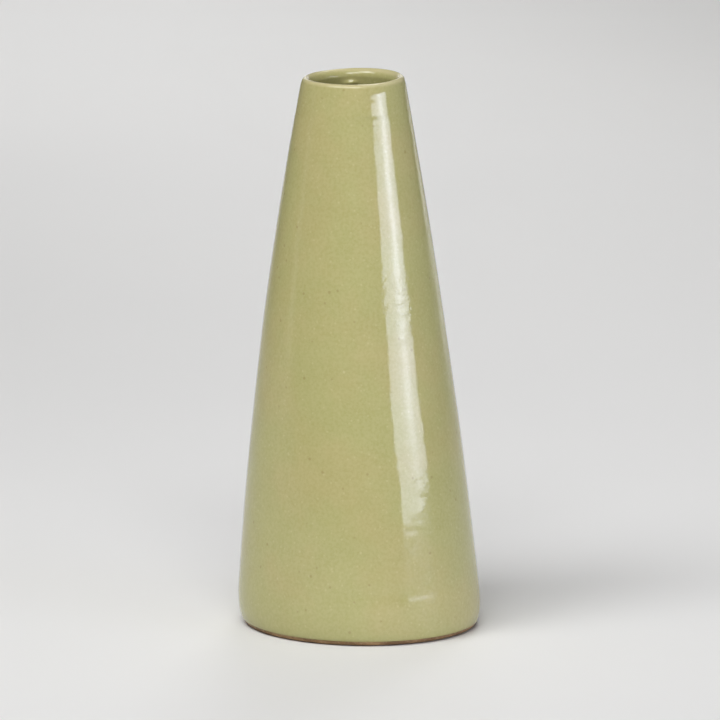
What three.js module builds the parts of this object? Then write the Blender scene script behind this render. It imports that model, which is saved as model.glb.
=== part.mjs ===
// A bud vase of glazed stoneware, fired as a single hollow piece. Millimetres, +Z up.
// The origin is on the surface that the vase stands on, under the middle of its widest part.
// The wall is one lathed outline. It is then drawn slightly out of true, as a clay vase is:
// the neck leans to one side, the foot is a little oval, and the rim is a little out of level.
import * as THREE from "three";
import { mergeVertices } from "three/addons/utils/BufferGeometryUtils.js";

// Driving dimensions
const HEIGHT = 170; // foot to the top of the rim
const FOOT_PLANE_RADIUS = 38; // where the wall's line would meet the floor
const MIDDLE_RADIUS = 29; // outside, at half height
const RIM_RADIUS = 15.7; // outside, at the top
const LIP_THICKNESS = 2.6; // the rim's round lip
const BASE_WALL_THICKNESS = 3.4; // the wall just above its floor
const FLOOR_THICKNESS = 5;

// Foot and lower edge
const EDGE_HEIGHT = 12; // where the wall starts to turn under
const FOOT_RADIUS = 33.4; // outer edge of the flat ring that it stands on
const FOOT_RING_WIDTH = 7;
const RECESS_DEPTH = 1.2; // the shallow hollow inside that ring
const RECESS_SLOPE_WIDTH = 4;
const INNER_CORNER = 9; // how far the inside corner's round reaches up the wall and along the floor

// How far it is out of true
const LEAN_AT_MIDDLE = -1.7; // sideways shift of the axis at half height
const LEAN_AT_TOP = -2.1;
const OVAL_SHARE = 0.03; // of the radius at the foot, none at the rim
const OVAL_ANGLE = -Math.PI / 4; // towards the widest way across
const RIM_SLOPE_BACK = 0.03; // rise of the rim per millimetre along +X, at its back
const RIM_SLOPE_FRONT = 0.006;
const RIM_SLOPE_START = 0.85; // share of the height from where the wall follows that slope

// Faceting
const SIDES = 80;
const WALL_STEPS = 22;
const CORNER_STEPS = 7;
const LIP_STEPS = 6;

const GLAZE = new THREE.MeshStandardMaterial({
  color: 0xbdb987,
  roughness: 0.18,
  metalness: 0,
});

const point = (radius, height) => new THREE.Vector2(radius, height);

// The outside wall from the floor plane to the rim. Its height is linear in its parameter.
const outerWall = new THREE.QuadraticBezierCurve(
  point(FOOT_PLANE_RADIUS, 0),
  point(2 * MIDDLE_RADIUS - (FOOT_PLANE_RADIUS + RIM_RADIUS) / 2, HEIGHT / 2),
  point(RIM_RADIUS, HEIGHT),
);

function outerRadius(height) {
  return outerWall.getPoint(height / HEIGHT).x;
}

function innerRadius(height) {
  const thickness = THREE.MathUtils.lerp(BASE_WALL_THICKNESS, LIP_THICKNESS, height / HEIGHT);
  return outerRadius(height) - thickness;
}

// Points of a wall from one height to another, with both ends.
function wallPoints(radiusAt, from, to) {
  return Array.from({ length: WALL_STEPS + 1 }, (_, step) => {
    const height = THREE.MathUtils.lerp(from, to, step / WALL_STEPS);
    return point(radiusAt(height), height);
  });
}

// A round corner from start to end that aims at the sharp corner between them.
function cornerPoints(start, sharp, end) {
  return new THREE.QuadraticBezierCurve(start, sharp, end).getPoints(CORNER_STEPS);
}

// Half a circle over the top of the wall, from the outside to the inside.
function lipPoints(lipCentreHeight) {
  const radius = LIP_THICKNESS / 2;
  const centre = outerRadius(lipCentreHeight) - radius;
  return Array.from({ length: LIP_STEPS - 1 }, (_, step) => {
    const angle = (Math.PI * (step + 1)) / LIP_STEPS;
    return point(centre + radius * Math.cos(angle), lipCentreHeight + radius * Math.sin(angle));
  });
}

// The whole outline, from the axis under the foot, up the outside, over the lip and down the inside.
function vaseOutline() {
  const ringInside = FOOT_RADIUS - FOOT_RING_WIDTH;
  const lipCentreHeight = HEIGHT - LIP_THICKNESS / 2;
  const innerWallFoot = FLOOR_THICKNESS + INNER_CORNER;
  const innerFloorEdge = innerRadius(FLOOR_THICKNESS) - INNER_CORNER;
  const underside = [
    point(0, RECESS_DEPTH),
    point(ringInside - RECESS_SLOPE_WIDTH, RECESS_DEPTH),
    point(ringInside, 0),
    point(FOOT_RADIUS, 0),
  ];
  const lowerEdge = cornerPoints(
    point(FOOT_RADIUS, 0),
    point(FOOT_PLANE_RADIUS, 0),
    point(outerRadius(EDGE_HEIGHT), EDGE_HEIGHT),
  );
  const innerCorner = cornerPoints(
    point(innerRadius(innerWallFoot), innerWallFoot),
    point(innerRadius(FLOOR_THICKNESS), FLOOR_THICKNESS),
    point(innerFloorEdge, FLOOR_THICKNESS),
  );
  return [
    ...underside,
    ...lowerEdge.slice(1),
    ...wallPoints(outerRadius, EDGE_HEIGHT, lipCentreHeight).slice(1),
    ...lipPoints(lipCentreHeight),
    ...wallPoints(innerRadius, lipCentreHeight, innerWallFoot),
    ...innerCorner.slice(1),
    point(0, FLOOR_THICKNESS),
  ];
}

// Sideways shift of the axis: nothing at the foot, then a parabola through the two driving values.
function leanAt(share) {
  return (4 * LEAN_AT_MIDDLE - LEAN_AT_TOP) * share + 2 * (LEAN_AT_TOP - 2 * LEAN_AT_MIDDLE) * share ** 2;
}

function drawOutOfTrue(geometry) {
  const position = geometry.getAttribute("position");
  for (let i = 0; i < position.count; i++) {
    const x = position.getX(i);
    const y = position.getY(i);
    const z = position.getZ(i);
    const angle = Math.atan2(y, x);
    const share = z / HEIGHT;
    const oval = OVAL_SHARE * (1 - share) * Math.cos(2 * (angle - OVAL_ANGLE));
    const slope = THREE.MathUtils.lerp(RIM_SLOPE_FRONT, RIM_SLOPE_BACK, (1 + Math.sin(angle)) / 2);
    const rise = slope * x * THREE.MathUtils.smoothstep(share, RIM_SLOPE_START, 1);
    position.setXYZ(i, x * (1 + oval) + leanAt(share), y * (1 + oval), z + rise);
  }
  return geometry;
}

// LatheGeometry turns its outline round Y, so it is stood up on Z afterwards.
function latheOnZ(outline) {
  const lathed = new THREE.LatheGeometry(outline, SIDES).rotateX(Math.PI / 2);
  lathed.deleteAttribute("normal");
  lathed.deleteAttribute("uv");
  return mergeVertices(lathed, 1e-4);
}

function makeVaseBody() {
  const geometry = drawOutOfTrue(latheOnZ(vaseOutline()));
  geometry.computeVertexNormals();
  const mesh = new THREE.Mesh(geometry, GLAZE);
  mesh.name = "vase_body";
  return mesh;
}

const vase = new THREE.Group();
vase.name = "bud_vase";
vase.add(makeVaseBody());

export default vase;
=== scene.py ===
# A bud vase of glazed stoneware on a pale studio floor.
# The vase is fired in one piece. Two meshes show it: the glazed body, and the bare clay foot under it.
# Metres, +Z up, in the frame of the CAD model.
import math

import bmesh
import bpy
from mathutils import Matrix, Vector, noise


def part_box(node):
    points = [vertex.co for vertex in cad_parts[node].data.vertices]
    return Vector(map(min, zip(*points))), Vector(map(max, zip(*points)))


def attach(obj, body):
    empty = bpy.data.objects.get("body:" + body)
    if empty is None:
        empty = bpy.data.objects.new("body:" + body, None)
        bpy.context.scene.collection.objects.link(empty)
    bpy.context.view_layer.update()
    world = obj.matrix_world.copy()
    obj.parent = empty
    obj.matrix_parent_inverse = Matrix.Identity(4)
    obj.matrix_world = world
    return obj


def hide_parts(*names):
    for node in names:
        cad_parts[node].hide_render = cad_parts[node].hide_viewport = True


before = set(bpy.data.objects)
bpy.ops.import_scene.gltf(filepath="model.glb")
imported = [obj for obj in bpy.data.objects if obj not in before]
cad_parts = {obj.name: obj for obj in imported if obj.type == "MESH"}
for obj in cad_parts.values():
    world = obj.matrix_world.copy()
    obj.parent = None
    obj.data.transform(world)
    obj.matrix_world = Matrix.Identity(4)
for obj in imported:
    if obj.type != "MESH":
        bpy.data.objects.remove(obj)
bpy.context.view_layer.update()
VASE_LOW, VASE_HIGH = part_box("vase_body")

MM = 0.001

# The outline, with the CAD model's dimensions. The height comes from the vase's box.
RIM_RISE = 0.2 * MM  # how far the uneven rim stands above the nominal height
HEIGHT = VASE_HIGH.z - VASE_LOW.z - RIM_RISE
FOOT_PLANE_RADIUS = 38 / 170 * HEIGHT  # where the wall's line would meet the floor
MIDDLE_RADIUS = 29 / 170 * HEIGHT  # outside, at half height
RIM_RADIUS = 15.7 / 170 * HEIGHT  # outside, at the top
LIP_THICKNESS = 2.6 * MM
BASE_WALL_THICKNESS = 3.4 * MM
FLOOR_THICKNESS = 5 * MM
EDGE_HEIGHT = 12 * MM  # where the wall starts to turn under
FOOT_RADIUS = 33.4 * MM
FOOT_RING_WIDTH = 7 * MM
RECESS_DEPTH = 1.2 * MM
RECESS_SLOPE_WIDTH = 4 * MM
INNER_CORNER = 9 * MM  # how far the inside corner's round reaches up the wall and along the floor

# How far it is out of true, the same as the CAD model
LEAN_AT_MIDDLE = -1.7 * MM
LEAN_AT_TOP = -2.1 * MM
OVAL_SHARE = 0.03
OVAL_ANGLE = -math.pi / 4
RIM_SLOPE_BACK = 0.03
RIM_SLOPE_FRONT = 0.006
RIM_SLOPE_START = 0.85

# The lip, rounder than the CAD model's
LIP_ROUND = 1.0 * MM  # the round of its outer edge
LIP_DEPTH = 2.4 * MM  # how far down the inside its inner round reaches
THROAT_SWELL = 0.8 * MM  # how far the inside swells inwards under the lip
THROAT_SWELL_REACH = 8 * MM

# The glaze's edge above the foot
GLAZE_EDGE_HEIGHT = 1.6 * MM
GLAZE_EDGE_SHARE = math.sqrt(GLAZE_EDGE_HEIGHT / EDGE_HEIGHT)  # along the round lower edge
GLAZE_EDGE_ROLL = 0.14 * MM  # how far the glaze stands out from the clay there
GLAZE_EDGE_FADE = 1.5 * MM

# The unevenness of the outside: distances outwards, and noise scales in waves per metre
PANEL_SIDE = math.radians(-62)  # the side that mirrors the bright panel, where the hollows are deepest
PANEL_SIDE_REACH = 0.6  # radians
FAR_SIDE_SHARE = 0.3  # of the hollows' depth
SOFT_RELIEF, SOFT_SCALE = 0.13 * MM, 24
FINE_RELIEF, FINE_SCALE = 0.022 * MM, 75
RING_RELIEF, RING_SCALE = 0.008 * MM, 420  # turning rings
CALM_FOOT, CALM_TOP = 38 * MM, 60 * MM  # the wall is smoother below these heights
FINE_CALM_SHARE = 0.4
CREASE_DEPTH, CREASE_HEIGHT, CREASE_WIDTH = 0.036 * MM, 15.8 * MM, 1.8 * MM
HOLLOW_SLOPE, HOLLOW_TOP, HOLLOW_REACH = 0.0047, 37 * MM, 25 * MM
NECK_RELIEF = 0.25 * MM  # a low swelling on one side of the neck
NECK_ANGLE, NECK_WIDTH = -0.25, 0.35  # radians from the panel's side
NECK_FOOT, NECK_TOP = 159.6 * MM, 160.6 * MM
TURN_IN, TURN_IN_START, TURN_IN_REACH = 0.12 * MM, 2.8 * MM, 1.5 * MM  # just under the lip
SMOOTH_FOOT, SMOOTH_TOP = 0.4 * MM, 5 * MM  # the relief fades in from the glaze's edge

# A run of glaze on the back of the throat
DRIP_RELIEF, DRIP_HEIGHT, DRIP_WIDTH = 0.85 * MM, HEIGHT - 4.3 * MM, 0.8 * MM
DRIP_ANGLE, DRIP_REACH = math.radians(93), math.radians(8)

# Mesh density
SIDES = 240
WALL_STEPS = 200
EDGE_STEPS = 34
INNER_WALL_STEPS = 60
THROAT_STEPS = 24
THROAT_LENGTH = 8 * MM
LIP_STEPS = 9
CORNER_STEPS = 12
DISH_STEPS = 5
FOOT_EDGE_STEPS = 8
FLOOR_RING, RECESS_RING = 12 * MM, 10 * MM  # radii of a ring of points part way across a flat disc


# ---------------------------------------------------------------- shapes

def lerp(a, b, share):
    return a + (b - a) * share


def smoothstep(value, low, high):
    share = min(max((value - low) / (high - low), 0), 1)
    return share * share * (3 - 2 * share)


def bump_at(value, centre, width):
    """A bell from 0 to 1 and back, round centre."""
    return math.exp(-(((value - centre) / width) ** 2))


def bezier(start, aim, end, steps, first=0.0, last=1.0):
    """Points of a round corner from start to end that aims at the sharp corner between them."""
    points = []
    for step in range(steps + 1):
        t = lerp(first, last, step / steps)
        weights = ((1 - t) ** 2, 2 * t * (1 - t), t * t)
        points.append(tuple(
            sum(w * p[axis] for w, p in zip(weights, (start, aim, end))) for axis in (0, 1)
        ))
    return points


def outer_radius(height):
    aim = 2 * MIDDLE_RADIUS - (FOOT_PLANE_RADIUS + RIM_RADIUS) / 2
    t = height / HEIGHT
    return (1 - t) ** 2 * FOOT_PLANE_RADIUS + 2 * t * (1 - t) * aim + t * t * RIM_RADIUS


def inner_radius(height):
    thickness = lerp(BASE_WALL_THICKNESS, LIP_THICKNESS, height / HEIGHT)
    swell = THROAT_SWELL * bump_at(height, HEIGHT - LIP_DEPTH, THROAT_SWELL_REACH)
    return outer_radius(height) - thickness - swell


def wall(radius_at, start, end, steps):
    heights = [lerp(start, end, step / steps) for step in range(steps + 1)]
    return [(radius_at(height), height) for height in heights]


def lower_edge(steps, first=0.0, last=1.0):
    """The round lower edge, or a stretch of it, from the foot ring up to the wall."""
    return bezier(
        (FOOT_RADIUS, 0),
        (FOOT_PLANE_RADIUS, 0),
        (outer_radius(EDGE_HEIGHT), EDGE_HEIGHT),
        steps, first, last,
    )


def lean_at(share):
    """Sideways shift of the axis: a parabola through the two driving values."""
    bend = LEAN_AT_TOP - 2 * LEAN_AT_MIDDLE
    return (4 * LEAN_AT_MIDDLE - LEAN_AT_TOP) * share + 2 * bend * share ** 2


def out_of_true(radius, angle, height):
    """The point of the real, slightly uneven vase for a point of its outline."""
    share = height / HEIGHT
    oval = OVAL_SHARE * (1 - share) * math.cos(2 * (angle - OVAL_ANGLE))
    x = radius * math.cos(angle)
    y = radius * math.sin(angle)
    slope = lerp(RIM_SLOPE_FRONT, RIM_SLOPE_BACK, (1 + math.sin(angle)) / 2)
    rise = slope * x * smoothstep(share, RIM_SLOPE_START, 1)
    return Vector((x * (1 + oval) + lean_at(share), y * (1 + oval), height + rise))


def hand_made(angle, height):
    """How far the outside stands out from its true outline: soft hollows, turning rings and a crease."""
    around = Vector((math.cos(angle), math.sin(angle), 0))
    place = around * outer_radius(height) + Vector((0, 0, height))
    from_panel_side = math.remainder(angle - PANEL_SIDE, 2 * math.pi)

    soft = SOFT_RELIEF * noise.noise(place * SOFT_SCALE)
    calm = lerp(FINE_CALM_SHARE, 1, smoothstep(height, CALM_FOOT, CALM_TOP))
    fine = FINE_RELIEF * calm * noise.noise(place * FINE_SCALE + Vector((7, 3, 1)))
    ring_place = Vector((0.6 * around.x, 0.6 * around.y, height * RING_SCALE))
    rings = RING_RELIEF * noise.noise(ring_place)

    depth = lerp(FAR_SIDE_SHARE, 1, bump_at(from_panel_side, 0, PANEL_SIDE_REACH))
    crease = CREASE_DEPTH * depth * bump_at(height, CREASE_HEIGHT, CREASE_WIDTH)
    hollow = HOLLOW_SLOPE * depth * min(max(HOLLOW_TOP - height, 0), HOLLOW_REACH)
    neck_side = bump_at(from_panel_side, NECK_ANGLE, NECK_WIDTH)
    neck = NECK_RELIEF * neck_side * smoothstep(height, NECK_FOOT, NECK_TOP)
    turned_in = TURN_IN * (max(height - (HEIGHT - TURN_IN_START), 0) / TURN_IN_REACH) ** 2
    return soft + fine + rings - crease - hollow + neck - turned_in


def drip(angle, height):
    """How far the run of glaze stands out from the inside of the throat."""
    from_drip = math.remainder(angle - DRIP_ANGLE, 2 * math.pi)
    return DRIP_RELIEF * bump_at(from_drip, 0, DRIP_REACH) * bump_at(height, DRIP_HEIGHT, DRIP_WIDTH)


def revolve(name, outline, relief_at=None):
    """A closed mesh turned from an outline that starts and ends on the axis."""
    mesh_data = bmesh.new()
    angles = [2 * math.pi * side / SIDES for side in range(SIDES)]
    rings = []
    for index, (radius, height) in enumerate(outline[1:-1]):
        ring = []
        for angle in angles:
            relief = relief_at(index + 1, angle, height) if relief_at else 0
            ring.append(mesh_data.verts.new(out_of_true(radius + relief, angle, height)))
        rings.append(ring)
    for lower, upper in zip(rings, rings[1:]):
        for side in range(SIDES):
            after = (side + 1) % SIDES
            mesh_data.faces.new((lower[side], lower[after], upper[after], upper[side]))
    for pole, ring, turned in ((outline[0], rings[0], True), (outline[-1], rings[-1], False)):
        centre = mesh_data.verts.new(out_of_true(0, 0, pole[1]))
        for side in range(SIDES):
            pair = (ring[side], ring[(side + 1) % SIDES])
            mesh_data.faces.new((centre, *(reversed(pair) if turned else pair)))
    bmesh.ops.recalc_face_normals(mesh_data, faces=mesh_data.faces)
    mesh = bpy.data.meshes.new(name)
    mesh_data.to_mesh(mesh)
    mesh_data.free()
    mesh.shade_smooth()
    piece = bpy.data.objects.new(name, mesh)
    bpy.context.collection.objects.link(piece)
    return piece


def glaze_edge_outline():
    """The glaze's rolled edge, and the round lower edge of the vase above it."""
    first, *above = lower_edge(EDGE_STEPS, GLAZE_EDGE_SHARE)
    radius, height = first
    roll = [
        (radius - 0.35 * MM, height + 0.12 * MM),
        (radius - 0.10 * MM, height - 0.02 * MM),
        (radius + GLAZE_EDGE_ROLL * 0.6, height + 0.02 * MM),
    ]
    return roll + [
        (r + GLAZE_EDGE_ROLL * bump_at(h, height, GLAZE_EDGE_FADE), h) for r, h in above
    ]


def lip_outline():
    """The lip: a small outer round, then a wide inner one that leads down to the throat."""
    foot = HEIGHT - LIP_ROUND
    crest = outer_radius(foot) - LIP_ROUND
    throat_height = HEIGHT - LIP_DEPTH
    throat = inner_radius(throat_height)
    points = []
    for step in range(1, LIP_STEPS + 1):
        angle = math.pi / 2 * step / LIP_STEPS
        points.append((crest + LIP_ROUND * math.cos(angle), foot + LIP_ROUND * math.sin(angle)))
    for step in range(1, LIP_STEPS * 2):
        angle = math.pi / 2 * step / (LIP_STEPS * 2)
        points.append((
            lerp(crest, throat, math.sin(angle)),
            throat_height + LIP_DEPTH * math.cos(angle),
        ))
    return points


def inside_outline():
    """The inside, from the throat down to the middle of the floor."""
    throat_height = HEIGHT - LIP_DEPTH
    throat_foot = throat_height - THROAT_LENGTH
    corner_top = FLOOR_THICKNESS + INNER_CORNER
    corner = bezier(
        (inner_radius(corner_top), corner_top),
        (inner_radius(FLOOR_THICKNESS), FLOOR_THICKNESS),
        (inner_radius(FLOOR_THICKNESS) - INNER_CORNER, FLOOR_THICKNESS),
        CORNER_STEPS,
    )
    return (
        wall(inner_radius, throat_height, throat_foot, THROAT_STEPS)
        + wall(inner_radius, throat_foot, corner_top, INNER_WALL_STEPS)[1:]
        + corner[1:]
        + [(FLOOR_RING, FLOOR_THICKNESS), (0, FLOOR_THICKNESS)]
    )


def foot_outline():
    """The bare clay foot: a dished disc whose edge fills the gap up to the glaze's edge."""
    inside = FOOT_RADIUS - FOOT_RING_WIDTH
    slope_middle = inside - RECESS_SLOPE_WIDTH / 2
    dish = bezier(
        (inside - RECESS_SLOPE_WIDTH, RECESS_DEPTH),
        (slope_middle, RECESS_DEPTH),
        (slope_middle, RECESS_DEPTH / 2),
        DISH_STEPS,
    )
    ring = bezier(dish[-1], (slope_middle, 0), (inside, 0), DISH_STEPS)
    edge_radius, edge_height = lower_edge(1, 0, GLAZE_EDGE_SHARE)[-1]
    edge = bezier(
        (FOOT_RADIUS, 0),
        (edge_radius - 0.3 * MM, 0.1 * MM),
        (edge_radius + 0.02 * MM, edge_height + 0.10 * MM),
        FOOT_EDGE_STEPS,
    )
    hidden_top = [(34.2 * MM, 2.1 * MM), (31 * MM, 2.9 * MM), (0, 3.2 * MM)]
    return (
        [(0, RECESS_DEPTH), (RECESS_RING, RECESS_DEPTH)]
        + dish + ring[1:]
        + [(inside + FOOT_RING_WIDTH / 2, 0)]
        + edge
        + hidden_top
    )


def make_glazed_body():
    """The glazed body, closed underneath by a face that the foot hides."""
    hidden = [(0, 2.6 * MM), (31 * MM, 2.3 * MM), (34.0 * MM, 1.7 * MM)]
    outer_wall = wall(outer_radius, EDGE_HEIGHT, HEIGHT - LIP_ROUND, WALL_STEPS)
    outside = hidden + glaze_edge_outline() + outer_wall[1:]
    last_outside = len(outside) + LIP_STEPS  # the lip's outer round is part of the outside

    def relief(index, angle, height):
        if index < len(hidden):
            return 0
        if index > last_outside:
            return -drip(angle, height)
        return hand_made(angle, height) * smoothstep(height, SMOOTH_FOOT, SMOOTH_TOP)

    return revolve("glazed_body", outside + lip_outline() + inside_outline(), relief)


def make_bare_foot():
    return revolve("bare_foot", foot_outline())


# ---------------------------------------------------------------- materials

class Nodes:
    """Short calls for building a node tree."""

    def __init__(self, tree):
        self.tree = tree

    def add(self, kind, **settings):
        node = self.tree.nodes.new(kind)
        for key, value in settings.items():
            setattr(node, key, value)
        return node

    def link(self, source, target):
        self.tree.links.new(source, target)

    def put(self, value, socket):
        """Links an output to a socket, or sets the socket to a plain value."""
        if isinstance(value, bpy.types.NodeSocket):
            self.link(value, socket)
        else:
            socket.default_value = value

    def math(self, operation, first, second=0.0):
        node = self.add("ShaderNodeMath", operation=operation)
        self.put(first, node.inputs[0])
        self.put(second, node.inputs[1])
        return node.outputs[0]

    def range(self, value, low, high, to_low=0.0, to_high=1.0):
        """A smooth, clamped change of range."""
        node = self.add("ShaderNodeMapRange", interpolation_type="SMOOTHSTEP")
        self.put(value, node.inputs["Value"])
        limits = {"From Min": low, "From Max": high, "To Min": to_low, "To Max": to_high}
        for socket, number in limits.items():
            node.inputs[socket].default_value = number
        return node.outputs["Result"]

    def part(self, vector, index):
        node = self.add("ShaderNodeSeparateXYZ")
        self.link(vector, node.inputs[0])
        return node.outputs[index]


class Shader(Nodes):
    """A new material, and its texture nodes in the object's own coordinates."""

    def __init__(self, name):
        self.material = bpy.data.materials.new(name)
        self.material.use_nodes = True
        super().__init__(self.material.node_tree)
        self.surface = self.tree.nodes["Principled BSDF"]
        self.place = self.add("ShaderNodeTexCoord").outputs["Object"]

    def noise(self, scale, detail=2.0, roughness=0.5):
        node = self.add("ShaderNodeTexNoise")
        self.link(self.place, node.inputs["Vector"])
        node.inputs["Scale"].default_value = scale
        node.inputs["Detail"].default_value = detail
        node.inputs["Roughness"].default_value = roughness
        return node.outputs["Fac"]

    def cells(self, scale):
        """Distance to the nearest of the scattered points, and that point's random colour."""
        node = self.add("ShaderNodeTexVoronoi")
        self.link(self.place, node.inputs["Vector"])
        node.inputs["Scale"].default_value = scale
        return node.outputs["Distance"], node.outputs["Color"]

    def mix(self, share, first, second):
        """A mix of two colours. Sockets 6, 7 and 2 are this node's colour sockets A, B and Result."""
        node = self.add("ShaderNodeMix", data_type="RGBA")
        self.put(share, node.inputs["Factor"])
        self.put(first, node.inputs[6])
        self.put(second, node.inputs[7])
        return node.outputs[2]

    def near(self, centre, reach):
        """1 at a point of the object, falling to 0 at the given reach from it."""
        node = self.add("ShaderNodeVectorMath", operation="DISTANCE")
        self.link(self.place, node.inputs[0])
        node.inputs[1].default_value = centre
        return self.range(node.outputs["Value"], reach, reach * 0.35)

    def bump(self, height, distance, normal=None):
        node = self.add("ShaderNodeBump")
        node.inputs["Distance"].default_value = distance
        self.link(height, node.inputs["Height"])
        if normal:
            self.link(normal, node.inputs["Normal"])
        return node.outputs["Normal"]

    def specks(self, scale, size, share, strength):
        """Round specks in a share of the cells. Their size is in cells."""
        distance, random = self.cells(scale)
        chosen = self.math("LESS_THAN", random, share)
        mask = self.math("MULTIPLY", self.range(distance, size, size * 0.4), chosen)
        return self.math("MULTIPLY", mask, strength)


GLAZE_GREEN = (0.422, 0.403, 0.168, 1)
GLAZE_WARM = (0.447, 0.399, 0.173, 1)
GLAZE_DEEP = (0.352, 0.340, 0.122, 1)
GLAZE_THIN = (0.578, 0.518, 0.291, 1)
PALE_SPECK = (0.621, 0.583, 0.340, 1)
IRON_SPECK = (0.227, 0.151, 0.053, 1)
CLAY = (0.330, 0.200, 0.090, 1)
CLAY_DARK = (0.170, 0.095, 0.040, 1)
CLAY_PALE = (0.450, 0.320, 0.180, 1)
FLOOR_GREY = (0.800, 0.800, 0.800, 1)
FLOOR_PALE = (0.815, 0.814, 0.812, 1)

POOL_FOOT, POOL_TOP = 1 * MM, 5 * MM  # the glaze runs down and is thicker and darker here
THIN_FOOT, THIN_TOP = 1.3 * MM, 0.2 * MM  # below the rim, where it has run off and is paler
ROUGH_PATCH = (10.0 * MM, -22.5 * MM, 106 * MM)
ROUGH_PATCH_REACH = 17 * MM


def glaze_colour(s):
    """Mottled green glaze with pale and brown specks, darker where it pools and paler where it thins."""
    height = s.part(s.place, 2)
    mottle = s.range(s.noise(38, 3, 0.55), 0.42, 0.66)
    colour = s.mix(mottle, GLAZE_GREEN, GLAZE_WARM)
    cloud = s.range(s.noise(120, 3, 0.6), 0.3, 0.7, 0.0, 0.22)
    colour = s.mix(cloud, colour, GLAZE_DEEP)
    grain = s.range(s.noise(1100, 2, 0.6), 0.3, 0.7, 0.0, 0.18)
    colour = s.mix(grain, colour, PALE_SPECK)
    colour = s.mix(s.specks(900, 0.42, 0.22, strength=0.24), colour, PALE_SPECK)
    colour = s.mix(s.specks(520, 0.34, 0.16, strength=0.30), colour, IRON_SPECK)
    colour = s.mix(s.specks(170, 0.10, 0.10, strength=0.40), colour, PALE_SPECK)
    pool = s.range(height, POOL_TOP, POOL_FOOT, 0.0, 0.35)
    colour = s.mix(pool, colour, GLAZE_DEEP)
    thin = s.range(height, HEIGHT - THIN_FOOT, HEIGHT - THIN_TOP, 0.0, 0.75)
    return s.mix(thin, colour, GLAZE_THIN)


def glaze_relief(s):
    """Waves and ripples, scattered pits, and one rough patch. All but the patch are calmer low down."""
    calm = s.range(s.part(s.place, 2), CALM_FOOT, CALM_TOP, 0.35, 1.0)
    waves = s.bump(s.math("MULTIPLY", s.noise(95), calm), 0.14 * MM)
    ripples = s.bump(s.math("MULTIPLY", s.noise(330), calm), 0.03 * MM, waves)
    distance, _ = s.cells(620)
    scattered = s.range(s.noise(45), 0.58, 0.72, 0.12, 0.35)
    pits = s.math("MULTIPLY", s.range(distance, 0.05, 0.32), s.math("MULTIPLY", scattered, calm))
    pitted = s.bump(pits, 0.035 * MM, ripples)
    rough = s.math("MULTIPLY", s.noise(420, 2, 0.6), s.near(ROUGH_PATCH, ROUGH_PATCH_REACH))
    return s.bump(rough, 0.13 * MM, pitted)


def glaze_material():
    s = Shader("green_glaze")
    s.link(glaze_colour(s), s.surface.inputs["Base Color"])
    smear = s.range(s.noise(260, 4, 0.6), 0.35, 0.75, 0.05, 0.10)
    s.link(smear, s.surface.inputs["Roughness"])
    s.surface.inputs["IOR"].default_value = 1.5
    s.link(glaze_relief(s), s.surface.inputs["Normal"])
    return s.material


def clay_material():
    s = Shader("bare_clay")
    tone = s.range(s.noise(110, 4, 0.6), 0.35, 0.7)
    colour = s.mix(tone, CLAY_DARK, CLAY)
    grain = s.range(s.noise(900, 3, 0.6), 0.45, 0.8, 0.0, 0.6)
    colour = s.mix(grain, colour, CLAY_PALE)
    colour = s.mix(s.specks(420, 0.30, 0.25, strength=0.7), colour, CLAY_DARK)
    s.link(colour, s.surface.inputs["Base Color"])
    dryness = s.range(s.noise(300, 3), 0.3, 0.7, 0.72, 0.92)
    s.link(dryness, s.surface.inputs["Roughness"])
    grit = s.bump(s.noise(1500, 3, 0.65), 0.10 * MM)
    s.link(grit, s.surface.inputs["Normal"])
    return s.material


def floor_material():
    s = Shader("pale_floor")
    tone = s.range(s.noise(3), 0.3, 0.7)
    colour = s.mix(tone, FLOOR_GREY, FLOOR_PALE)
    s.link(colour, s.surface.inputs["Base Color"])
    s.surface.inputs["Roughness"].default_value = 0.55
    s.surface.inputs["Specular IOR Level"].default_value = 0.12
    return s.material


# ---------------------------------------------------------------- studio

FLOOR_HALF = 6.0
FLOOR_CELLS = 80
SWEEP_START = 4.6
SWEEP_RISE = 1.6

WORLD_COLOUR = (1.0, 0.96, 0.87, 1)
WORLD_STRENGTH = 0.118

# The side panel, which the long highlight mirrors. Its core is a brighter upright band.
PANEL_SIZE = (1.80, 0.50)
PANEL_DISTANCE = 2.0
PANEL_AZIMUTH = 57
PANEL_FOOT = 6 * MM  # above the floor
PANEL_STRENGTH = 0.276
PANEL_COLOUR = (0.777, 0.82, 1)
PANEL_GRID = 100  # degrees
PANEL_GLOW = 5.0
PANEL_CORE_GLOW = 8.5
# Places on the panel, as shares of its width and height
PANEL_CORE_PLACE = 0.590
PANEL_CORE_WIDTH = 0.115
PANEL_LEFT, PANEL_RIGHT = 0.115, 0.90  # the edges of its glow
PANEL_EDGE = 0.06
PANEL_FOOT_FADE = 0.03
PANEL_LOW_CORE = 0.45  # the core's glow low down, as a share
PANEL_CORE_FROM, PANEL_CORE_TO = 0.13, 0.50  # where it gets its full glow
PANEL_LOW_SHIFT = -0.085  # sideways shift of the glow low down
PANEL_SHIFT_FROM, PANEL_SHIFT_TO = 0.024, 0.344

KEY_DISTANCE = 1.8

CAMERA_ELEVATION = 11.3  # degrees
CAMERA_DISTANCE = 4.0
CAMERA_LENS = 653.5
CAMERA_TARGET = Vector((0, 0, HEIGHT / 2 - 3.1 * MM))


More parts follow.
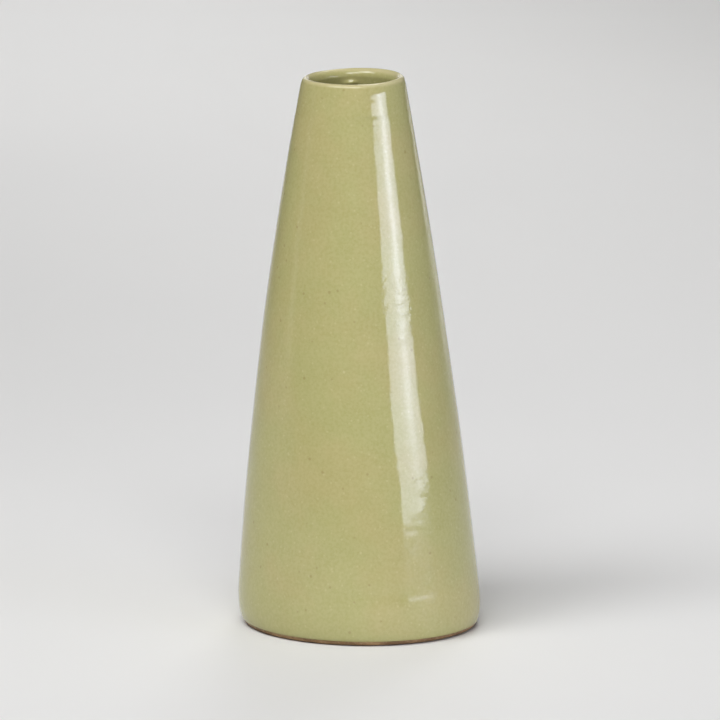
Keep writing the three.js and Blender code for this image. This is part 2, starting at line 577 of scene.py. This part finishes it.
def make_floor():
    """A flat floor whose far edges sweep up all round, so that no view looks past it."""
    mesh_data = bmesh.new()
    bmesh.ops.create_grid(
        mesh_data, x_segments=FLOOR_CELLS, y_segments=FLOOR_CELLS, size=FLOOR_HALF
    )
    for vertex in mesh_data.verts:
        vertex.co.z = SWEEP_RISE * smoothstep(vertex.co.xy.length, SWEEP_START, FLOOR_HALF)
    mesh = bpy.data.meshes.new("studio_floor")
    mesh_data.to_mesh(mesh)
    mesh_data.free()
    mesh.shade_smooth()
    mesh.materials.append(floor_material())
    floor = bpy.data.objects.new("studio_floor", mesh)
    bpy.context.collection.objects.link(floor)


def direction(azimuth, elevation):
    """Unit vector towards a place round the object. Azimuth 0 is the front, -Y, and 90 is +X."""
    a, e = math.radians(azimuth), math.radians(elevation)
    return Vector((math.sin(a) * math.cos(e), -math.cos(a) * math.cos(e), math.sin(e)))


def above(x, y, height):
    """A place above the floor and the point under it, for a light that shines straight down."""
    return Vector((x, y, height)), Vector((x, y, 0))


def make_light(name, place, aim, size, glow, spread=180, colour=(1, 1, 1), turn=0):
    """A soft panel, as bright whatever its size. A spread under 180 degrees is a grid on it."""
    data = bpy.data.lights.new(name, "AREA")
    data.shape = "RECTANGLE"
    data.size, data.size_y = size
    data.energy = glow * math.pi * size[0] * size[1]
    data.spread = math.radians(spread)
    data.color = colour
    light = bpy.data.objects.new(name, data)
    light.location = place
    light.rotation_euler = (aim - place).to_track_quat("-Z", "Y").to_euler()
    light.rotation_euler.z += math.radians(turn)
    light.visible_camera = False
    bpy.context.collection.objects.link(light)
    return light


def shape_side_panel(light):
    """Gives the side panel soft edges, and a bright upright core off its middle that dims low down."""
    light.data.use_nodes = True
    n = Nodes(light.data.node_tree)
    place = n.add("ShaderNodeNewGeometry").outputs["Parametric"]
    across, up = n.part(place, 0), n.part(place, 1)
    shift = n.range(up, PANEL_SHIFT_FROM, PANEL_SHIFT_TO, PANEL_LOW_SHIFT, 0.0)
    across = n.math("ADD", across, shift)

    offset = n.math("DIVIDE", n.math("SUBTRACT", across, PANEL_CORE_PLACE), PANEL_CORE_WIDTH)
    core = n.math("DIVIDE", 1.0, n.math("ADD", 1.0, n.math("MULTIPLY", offset, offset)))
    lift = n.range(up, PANEL_CORE_FROM, PANEL_CORE_TO, PANEL_LOW_CORE, 1.0)
    core = n.math("MULTIPLY", core, lift)
    glow = n.math("ADD", PANEL_GLOW, n.math("MULTIPLY", core, PANEL_CORE_GLOW))

    left = n.range(across, PANEL_LEFT, PANEL_LEFT + PANEL_EDGE)
    right = n.range(across, PANEL_RIGHT, PANEL_RIGHT - PANEL_EDGE)
    glow = n.math("MULTIPLY", glow, n.math("MULTIPLY", left, right))
    glow = n.math("MULTIPLY", glow, n.range(up, 0.0, PANEL_FOOT_FADE))

    # The vase sees the panel's ends at an angle, where its grid dims them, so this makes up for that.
    off_middle = n.math("ABSOLUTE", n.math("SUBTRACT", across, 0.5))
    loss_at_ends = PANEL_SIZE[0] / PANEL_DISTANCE / math.tan(math.radians(PANEL_GRID / 2))
    grid_loss = n.math("MULTIPLY", off_middle, loss_at_ends)
    glow = n.math("DIVIDE", glow, n.math("SUBTRACT", 1.0, grid_loss))
    n.link(glow, n.tree.nodes["Emission"].inputs["Strength"])


def make_front_lights():
    middle = Vector((0, 0, HEIGHT / 2))
    for name, azimuth, elevation, size, glow in (
        ("key", -35, 56, (1.2, 0.7), 0.40),
        ("key_left", -52, 52, (0.9, 0.7), 0.68),
        ("front", 0, 46, (1.0, 0.4), 1.38),
    ):
        make_light(name, direction(azimuth, elevation) * KEY_DISTANCE, middle, size, glow, spread=60)


def make_floor_lights():
    """Lights on the floor behind the vase and beside it, and a panel behind it for the back of the rim."""
    make_light(
        "back_left", Vector((-0.25, 1.5, 1.5)), Vector((-0.12, 1.05, 0)), (0.3, 0.3), 2.65, spread=40
    )
    make_light(
        "back_middle", Vector((0.25, 1.2, 1.4)), Vector((0.1, 0.45, 0)), (0.4, 0.4), 1.15, spread=50
    )
    make_light(
        "back_panel", Vector((0, 3, 0.75)), Vector((0, 0, 0.75)), (1.6, 0.9), 0.305, spread=100
    )
    make_light(
        "right_pool", Vector((1.3, 1.8, 1.2)), Vector((0.95, 1.4, 0)), (0.5, 0.5), 2.1, spread=48
    )
    make_light("right_strip", *above(0.66, 1.04, 0.8), (1.0, 0.1), 1.7, spread=30, turn=57)


def make_far_lights():
    """Lights on the far floor, which only the low side and front views reach."""
    make_light("far_left", *above(-3.0, 0, 2.2), (4.7, 0.3), 1.7, spread=36)
    make_light("far_back", *above(0, 3.5, 2.0), (0.6, 4.1), 0.80, spread=30)


def make_side_panel():
    middle = Vector((0, 0, PANEL_SIZE[1] / 2 + PANEL_FOOT))
    place = direction(PANEL_AZIMUTH, 0) * PANEL_DISTANCE + middle
    panel = make_light(
        "side_panel", place, middle, PANEL_SIZE, PANEL_STRENGTH, PANEL_GRID, PANEL_COLOUR
    )
    shape_side_panel(panel)


def make_world():
    world = bpy.data.worlds.new("studio")
    world.use_nodes = True
    background = world.node_tree.nodes["Background"]
    background.inputs["Color"].default_value = WORLD_COLOUR
    background.inputs["Strength"].default_value = WORLD_STRENGTH
    bpy.context.scene.world = world


def make_camera():
    data = bpy.data.cameras.new("camera")
    data.lens = CAMERA_LENS
    data.sensor_width = 36
    data.clip_end = 30
    camera = bpy.data.objects.new("camera", data)
    camera.location = CAMERA_TARGET + direction(0, CAMERA_ELEVATION) * CAMERA_DISTANCE
    camera.rotation_euler = (CAMERA_TARGET - camera.location).to_track_quat("-Z", "Y").to_euler()
    bpy.context.collection.objects.link(camera)
    bpy.context.scene.camera = camera


# ---------------------------------------------------------------- the scene

make_camera()
make_world()
make_front_lights()
make_floor_lights()
make_far_lights()
make_side_panel()
make_floor()

glazed_body = make_glazed_body()
glazed_body.data.materials.append(glaze_material())
bare_foot = make_bare_foot()
bare_foot.data.materials.append(clay_material())

for piece in (glazed_body, bare_foot):
    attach(piece, "root")
    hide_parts("vase_body")

bpy.context.scene.view_settings.view_transform = "Standard"
